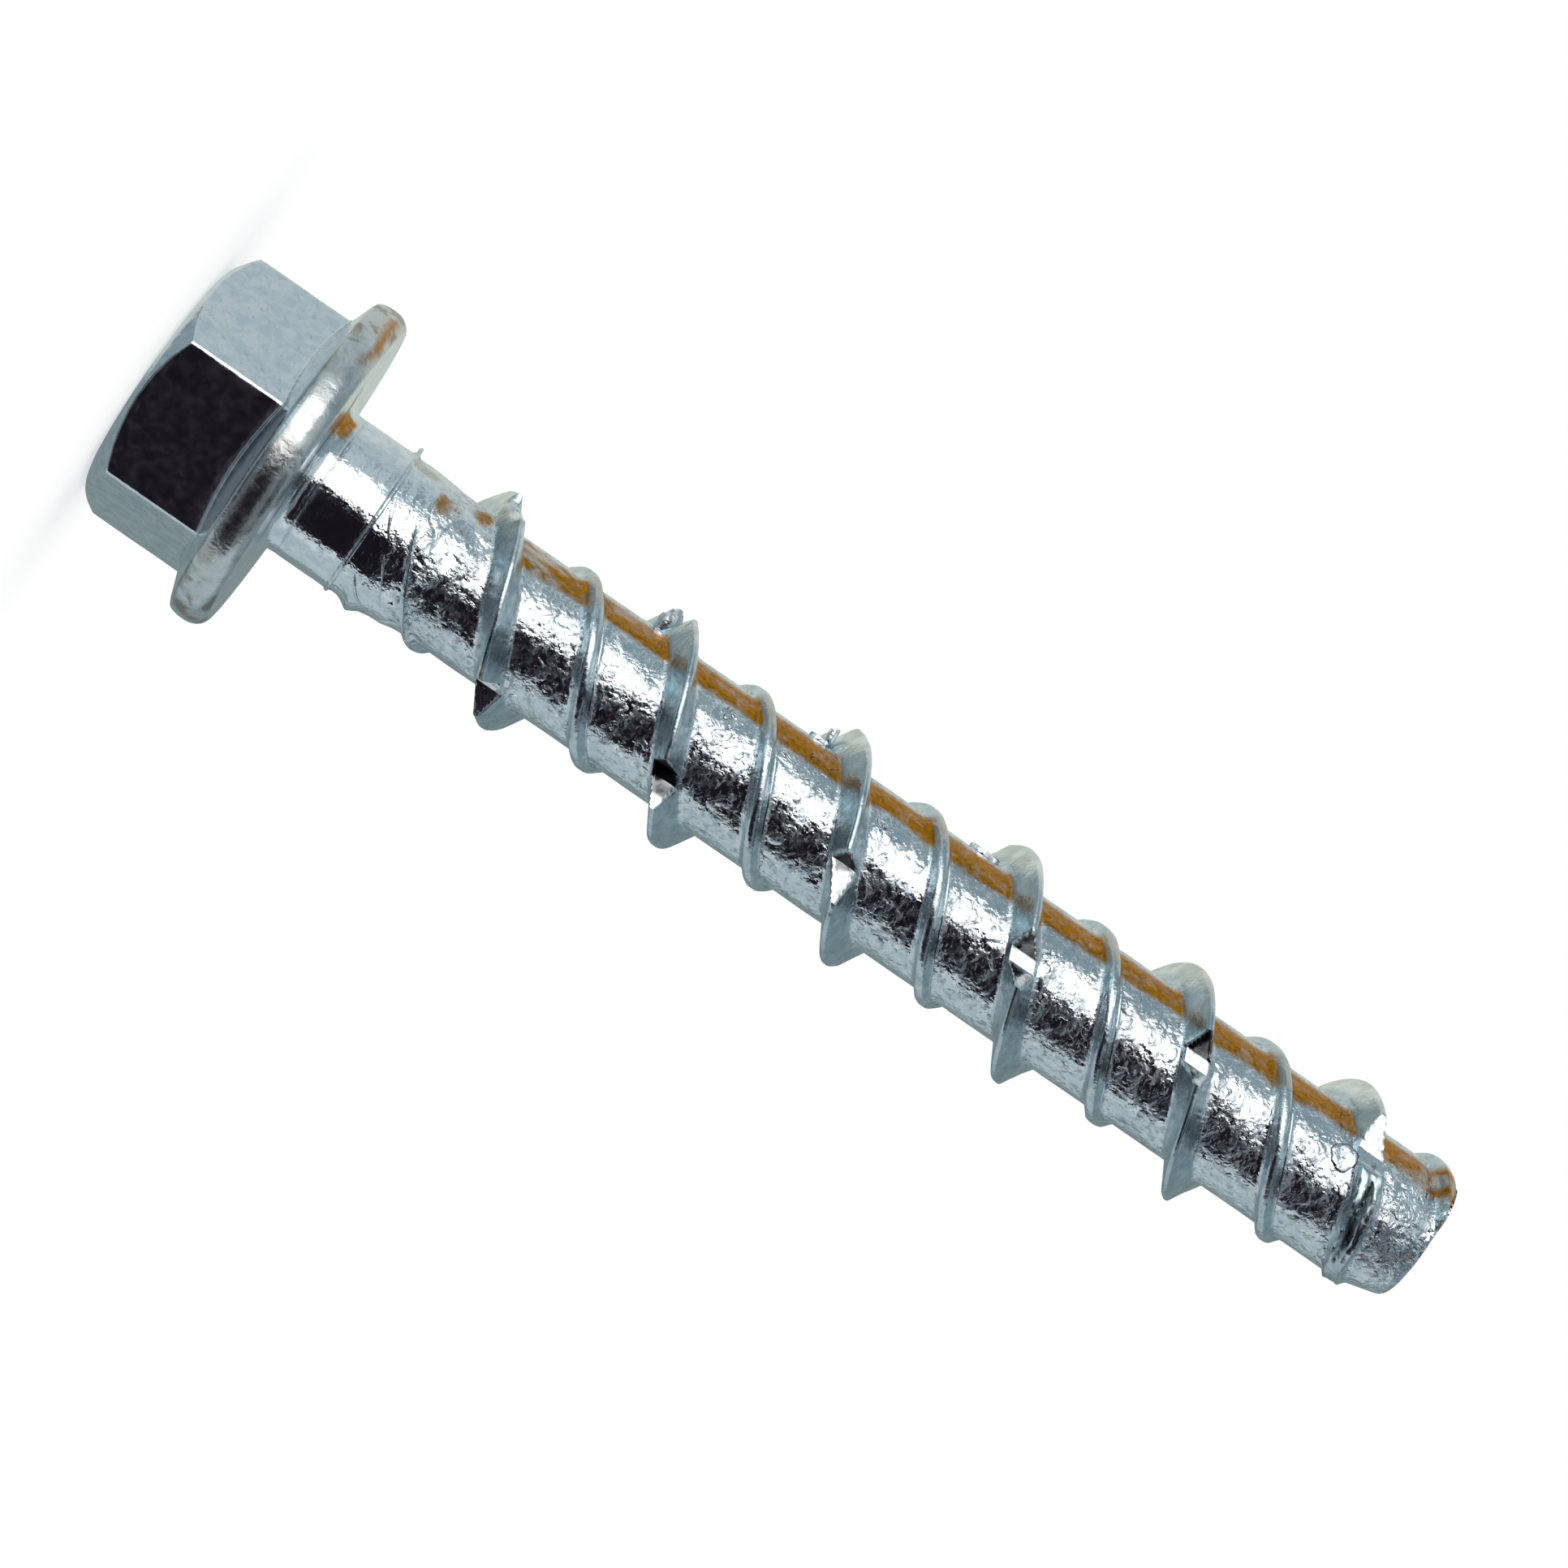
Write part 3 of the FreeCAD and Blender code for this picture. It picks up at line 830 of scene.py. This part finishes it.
def zinc():
    """Bright bluish zinc plating: smooth on the head, rolled on the core, freshly
    cut in the notches, with brown stains on the rim, and painted amber reflection, painted crest
    highlights and painted shade in places."""
    mat = bpy.data.materials.new("zinc_plated_steel")
    n = Nodes(mat)
    times, plus, rescale, mix, tint = n.times, n.plus, n.rescale, n.mix, n.tint
    bsdf = n.new("ShaderNodeBsdfPrincipled")
    bsdf.inputs["Metallic"].default_value = 1.0
    n.put(bsdf.outputs[0], n.new("ShaderNodeOutputMaterial").inputs[0])

    # places in millimetres, stretched along the axis and squeezed along it
    position = n.new("ShaderNodeTexCoord").outputs["Object"]
    even = n.scaled(position, (1000, 1000, 1000))
    long = n.scaled(position, (1000, 1000, 900))
    rings = n.scaled(position, (650, 650, 6500))
    split = n.new("ShaderNodeSeparateXYZ")
    n.put(even, split.inputs[0])
    x, y, z = split.outputs

    head, rim, ridge, fresh = n.attribute("zone")
    amber_reflection, matt, crest_highlight, painted_shade = n.attribute("marks")
    neck = times(rescale(z, 3.7, 3.85, 1, 0), rescale(z, -0.1, 0.1, 0, 1))
    # the rim is cleaner on the side of azimuth 255
    facing = plus(times(x, -0.259), times(y, -0.966))
    rim_side = times(rim, rescale(facing, 7.6, 5.0, 0.25, 1))
    fine = n.noise(even, 0.10, 2)
    grain = n.noise(even, 0.22, 1.5, 0.5, 0.2)
    cells = n.noise(long, 0.6, 3, 0.55, 0.5)
    torn = n.noise(even, 0.38, 2.5, 0.6, 0.6)
    mottle = n.noise(even, 0.8, 4, 0.6, 0.4)
    stain_and_reflection = n.noise(even, 1.5, 5, 0.6, 0.5)
    broad = n.noise(even, 2.2, 3, 0.5)
    lines = n.noise(rings, 1.0, 3, 0.6)

    # colour: bluish zinc, paler where rubbed, darker in the pits
    base = tint(rescale(cells, 0.38, 0.62, 0, 1), (0.70, 0.77, 0.82), (0.88, 0.90, 0.91))
    base = tint(rescale(grain, 0.62, 0.80, 0, 0.6), base, (0.45, 0.43, 0.44))
    # worn streaks between the ridges
    worn = times(rescale(torn, 0.52, 0.68, 0, 0.75), rescale(z, 4.5, 9.0, 0, 1))
    base = tint(worn, base, (0.40, 0.46, 0.50))
    # mottled ridges, and a rim with rubbed and brown spots
    flank = tint(rescale(mottle, 0.35, 0.68, 0, 1), (0.40, 0.52, 0.57), (0.76, 0.82, 0.84))
    base = tint(times(ridge, 0.85), base, flank)
    base = tint(times(rim, 0.55), base, (0.60, 0.61, 0.59))
    rubbed = times(rim_side, rescale(stain_and_reflection, 0.47, 0.36, 0, 0.8))
    base = tint(rubbed, base, (0.84, 0.86, 0.83))
    brown = times(rim_side, rescale(stain_and_reflection, 0.50, 0.58, 0, 0.85))
    base = tint(brown, base, (0.33, 0.27, 0.20))
    # painted highlight on the crests, then cut and matt metal, then painted shade
    crest_highlight_colour = tint(rescale(stain_and_reflection, 0.40, 0.60, 0, 1), (1.0, 1.0, 0.96), (0.72, 0.72, 0.68))
    base = tint(times(crest_highlight, 0.95), base, crest_highlight_colour)
    cut_metal = tint(rescale(torn, 0.56, 0.62, 0, 0.7), (0.90, 0.92, 0.93), (0.30, 0.32, 0.34))
    base = tint(fresh, base, cut_metal)
    base = tint(times(matt, rescale(torn, 0.45, 0.62, 0, 0.7)), base, (0.45, 0.48, 0.48))
    # painted shade, near black, from the marks' last channel
    base = tint(painted_shade, base, (0.015, 0.013, 0.015))
    # painted amber reflection
    amber_reflection_colour = tint(rescale(grain, 0.35, 0.65, 0, 1), (0.60, 0.225, 0.003), (0.38, 0.165, 0.010))
    base = tint(times(amber_reflection, rescale(cells, 0.3, 0.5, 0.75, 1)), base, amber_reflection_colour)
    # short dark cracks in the core
    middle = n.maths("SUBTRACT", n.noise(even, 1.3, 2, 0.5, 1.0), 0.5)
    crack = rescale(n.maths("ABSOLUTE", middle, 0.0), 0.004, 0.012, 1, 0)
    crack = times(crack, rescale(n.noise(even, 2.4, 2), 0.56, 0.62, 0, 1))
    crack = times(crack, rescale(z, 9.0, 12.0, 0, 1))
    crack = times(crack, rescale(ridge, 0.2, 0.5, 1, 0))
    base = tint(times(crack, 0.8), base, (0.07, 0.06, 0.06))
    n.put(base, bsdf.inputs["Base Color"])

    smooth, rolled = rescale(cells, 0.36, 0.62, 0.18, 0.09), rescale(torn, 0.40, 0.60, 0.09, 0.33)
    rough = mix(rescale(z, 4.0, 9.0, 0, 1), smooth, rolled)
    for zone, low, high in ((head, 0.14, 0.24), (rim, 0.22, 0.34), (ridge, 0.20, 0.32)):
        rough = mix(zone, rough, rescale(cells, 0.35, 0.65, low, high))
    for zone, value in ((fresh, 0.16), (matt, 0.3), (amber_reflection, 0.3)):
        rough = mix(zone, rough, value)
    n.put(rough, bsdf.inputs["Roughness"])

    # heights of the relief, in millimetres
    core = plus(plus(times(grain, 0.034), times(cells, 0.030)), times(fine, 0.005))
    blotches = n.noise(even, 1.7, 2)
    # torn patches: where along the axis, which noise and how deep
    for place, spots, deep in (
        (times(rescale(z, 5.6, 6.6, 0, 1), rescale(z, 9.0, 10.2, 1, 0)),
         rescale(blotches, 0.42, 0.55, 0, 1), 0.16),
        (rescale(z, 60.0, 61.5, 0, 1), rescale(blotches, 0.40, 0.55, 0, 1), 0.12),
        (rescale(z, 9.0, 11.0, 0, 1), rescale(n.noise(even, 1.2, 2), 0.45, 0.60, 0, 1), 0.075),
    ):
        core = plus(core, times(times(place, spots), times(torn, deep)))
    core = n.maths("SUBTRACT", core, times(crack, 0.02))
    height = mix(neck, core, plus(times(lines, 0.014), times(grain, 0.016)))
    height = mix(head, height, plus(times(grain, 0.008), times(fine, 0.004)))
    height = mix(rim, height, plus(times(lines, 0.004), times(cells, 0.04)))
    height = mix(ridge, height, plus(times(grain, 0.014), times(cells, 0.02)))
    height = mix(fresh, height, times(grain, 0.008))
    height = plus(height, times(broad, 0.03))
    bump = n.new("ShaderNodeBump")
    bump.inputs["Strength"].default_value = 1.0
    bump.inputs["Distance"].default_value = MM
    n.put(height, bump.inputs["Height"])
    n.put(bump.outputs[0], bsdf.inputs["Normal"])
    return mat


metal = zinc()
screw.data.materials.append(metal)
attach(screw, "root")
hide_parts("concrete_screw")
for slot in frame["nodes"]["concrete_screw"].material_slots:
    slot.material = metal

# Camera

# The camera that gives the photo's outline: its distance from the point it
# looks at, its tilt below the level, its swing about the axis, its roll, that
# point's height and sideways shift, and the photo's pixels to a millimetre there
DISTANCE = 254.71
TILT, SWING, ROLL = math.radians(2.997), math.radians(-15.0), math.radians(34.685)
AIM_HEIGHT, AIM_SHIFT = 27.147, -0.919
PIXELS_PER_MM, PHOTO_PIXELS, SENSOR = 25.645, 1932, 36.0


def world(v):
    """From the camera's own turned frame to the part's frame."""
    x, y, z = v
    return Vector((
        x * math.cos(SWING) - y * math.sin(SWING),
        x * math.sin(SWING) + y * math.cos(SWING),
        z,
    ))


along = Vector((0, -math.sin(TILT), math.cos(TILT)))
across = Vector((-1, 0, 0))
depth = Vector((0, math.cos(TILT), math.sin(TILT)))
right = world(math.cos(ROLL) * along + math.sin(ROLL) * across)
up = world(-math.sin(ROLL) * along + math.cos(ROLL) * across)
back = world(-depth)
stand = world((AIM_SHIFT, -DISTANCE * math.cos(TILT), AIM_HEIGHT - DISTANCE * math.sin(TILT)))
camera = bpy.data.cameras.new("camera")
camera.sensor_width = SENSOR
camera.lens = PIXELS_PER_MM * DISTANCE / PHOTO_PIXELS * SENSOR
camera.clip_start, camera.clip_end = 0.01, 50
cam = bpy.data.objects.new("camera", camera)
scene.collection.objects.link(cam)
pose = Matrix.Identity(4)
for i in range(3):
    pose[i][0], pose[i][1], pose[i][2], pose[i][3] = right[i], up[i], back[i], stand[i] * MM
cam.matrix_world = pose
scene.camera = cam


# Stage, in metres
def emissive(name, colour, strength):
    mat = bpy.data.materials.new(name)
    n = Nodes(mat)
    glow = n.new("ShaderNodeEmission")
    n.put(colour, glow.inputs[0])
    n.put(strength, glow.inputs[1])
    n.put(glow.outputs[0], n.new("ShaderNodeOutputMaterial").inputs[0])
    return mat


def curved_card(name, start, end, step, rail, colour, strength):
    """Card swept about the screw between two azimuths, that is seen only in the
    metal. The rail gives the radius and height of its two long edges, in metres.
    Azimuth 0 is towards the camera and grows towards the picture's top."""
    steps = max(2, int(abs(end - start) / step))
    corners = []
    for i in range(steps + 1):
        a = math.radians(start + (end - start) * i / steps)
        out = world((-math.sin(a), -math.cos(a), 0))
        corners += [(out.x * radius, out.y * radius, z) for radius, z in rail]
    quads = [(2 * i, 2 * i + 2, 2 * i + 3, 2 * i + 1) for i in range(steps)]
    shape = bpy.data.meshes.new(name)
    shape.from_pydata(corners, [], quads)
    ob = bpy.data.objects.new(name, shape)
    scene.collection.objects.link(ob)
    shape.materials.append(emissive(name, colour, strength))
    ob.visible_camera = False
    ob.visible_shadow = False
    ob.visible_diffuse = False
    ob.visible_transmission = False


def card(name, start, end, colour, strength=1.0, radius=0.7, low=-0.8, high=0.8):
    """Upright card at a radius, from one height to another."""
    curved_card(name, start, end, 4, ((radius, low), (radius, high)), colour, strength)


def disc(name, z, colour, strength=1.0, start=0, end=360, inner=0.0, outer=0.75):
    """Flat card over or under the screw, whole or one sector of it."""
    curved_card(name, start, end, 6, ((inner, z), (outer, z)), colour, strength)


# Azimuths that the soft light and the dark cards span
SOFT, DARK = (5, 49), (288, 365)
card("card_soft_box", *SOFT, (1.0, 1.0, 1.0), 2.0, low=-0.45, high=0.24)
card("card_soft_edge", *SOFT, (1.0, 1.0, 1.0), 1.1, low=0.24, high=0.34)
for side, low, high in (("low", -0.8, -0.45), ("high", 0.34, 0.8)):
    card("card_soft_" + side, *SOFT, (0.58, 0.64, 0.66), low=low, high=high)
card("card_blue_grey", 49, 106, (0.47, 0.55, 0.58))
card("card_blue_shank", 49, 86, (0.24, 0.32, 0.36), radius=0.1, low=0.008, high=0.25)
card("card_pale_top", 106, 138, (0.58, 0.635, 0.635))
card("card_pale_edge", 138, 180, (0.60, 0.66, 0.62))
card("card_lower_edge", 180, 228, (0.23, 0.29, 0.30))
card("card_pale", 228, 276, (0.46, 0.54, 0.57))
card("card_bright_line", 276, 288, (0.64, 0.70, 0.73))
card("card_dark", *DARK, (0.010, 0.007, 0.012), low=-0.22, high=0.19)
for side, low, high in (("low", -0.36, -0.22), ("high", 0.19, 0.26)):
    card("card_dim_" + side, *DARK, (0.05, 0.045, 0.055), low=low, high=high)
for side, low, high in (("low", -0.8, -0.36), ("high", 0.26, 0.8)):
    card("card_grey_" + side, *DARK, (0.17, 0.19, 0.21), low=low, high=high)
disc("card_above", 0.8, (0.25, 0.32, 0.36))
disc("card_below", -0.8, (0.24, 0.31, 0.35))
for side, z in (("above", 0.79), ("below", -0.79)):
    disc("card_dark_" + side, z, (0.04, 0.045, 0.055), 1.0, 292, 362, 0.12, 0.74)
    disc("card_light_" + side, z, (0.46, 0.56, 0.60), 1.0, 6, 60, 0.12, 0.74)
disc("card_glint_below", -0.78, (0.42, 0.86, 1.0), 2.2, 24, 44, 0.45, 0.66)

# Pale floor under the head, brighter to the camera than its own light makes it
STAGE_HALF_WIDTH, STAGE_DROP = 4.0, 0.00002
floor_mesh = bpy.data.meshes.new("floor")
floor_mesh.from_pydata([
    (-STAGE_HALF_WIDTH, -STAGE_HALF_WIDTH, 0), (STAGE_HALF_WIDTH, -STAGE_HALF_WIDTH, 0),
    (STAGE_HALF_WIDTH, STAGE_HALF_WIDTH, 0), (-STAGE_HALF_WIDTH, STAGE_HALF_WIDTH, 0),
], [], [(0, 1, 2, 3)])
floor = bpy.data.objects.new("floor", floor_mesh)
floor.location = (0, 0, HEAD_END * MM - STAGE_DROP)
scene.collection.objects.link(floor)
floor.visible_glossy = False
floor_paint = bpy.data.materials.new("floor")
n = Nodes(floor_paint)
diffuse, glow = n.new("ShaderNodeBsdfDiffuse"), n.new("ShaderNodeEmission")
n.put((0.8, 0.8, 0.8), diffuse.inputs[0])
rays = n.new("ShaderNodeLightPath").outputs
n.put(n.times(rays["Is Camera Ray"], 0.55), glow.inputs[1])
both = n.new("ShaderNodeAddShader")
n.put(diffuse.outputs[0], both.inputs[0])
n.put(glow.outputs[0], both.inputs[1])
n.put(both.outputs[0], n.new("ShaderNodeOutputMaterial").inputs[0])
floor_mesh.materials.append(floor_paint)

# Soft, even light from all around; the background itself is white
studio = bpy.data.worlds.new("studio")
scene.world = studio
n = Nodes(studio)
rays = n.new("ShaderNodeLightPath").outputs
seen_white = n.maths("MAXIMUM", rays["Is Camera Ray"], rays["Is Glossy Ray"])
seen_white = n.maths("MAXIMUM", seen_white, rays["Is Transmission Ray"])
background = n.new("ShaderNodeBackground")
n.put(n.tint(seen_white, (0.62, 0.62, 0.62), (1.0, 1.0, 1.0)), background.inputs[0])
n.put(background.outputs[0], n.new("ShaderNodeOutputWorld").inputs[0])

scene.view_settings.view_transform = "Standard"
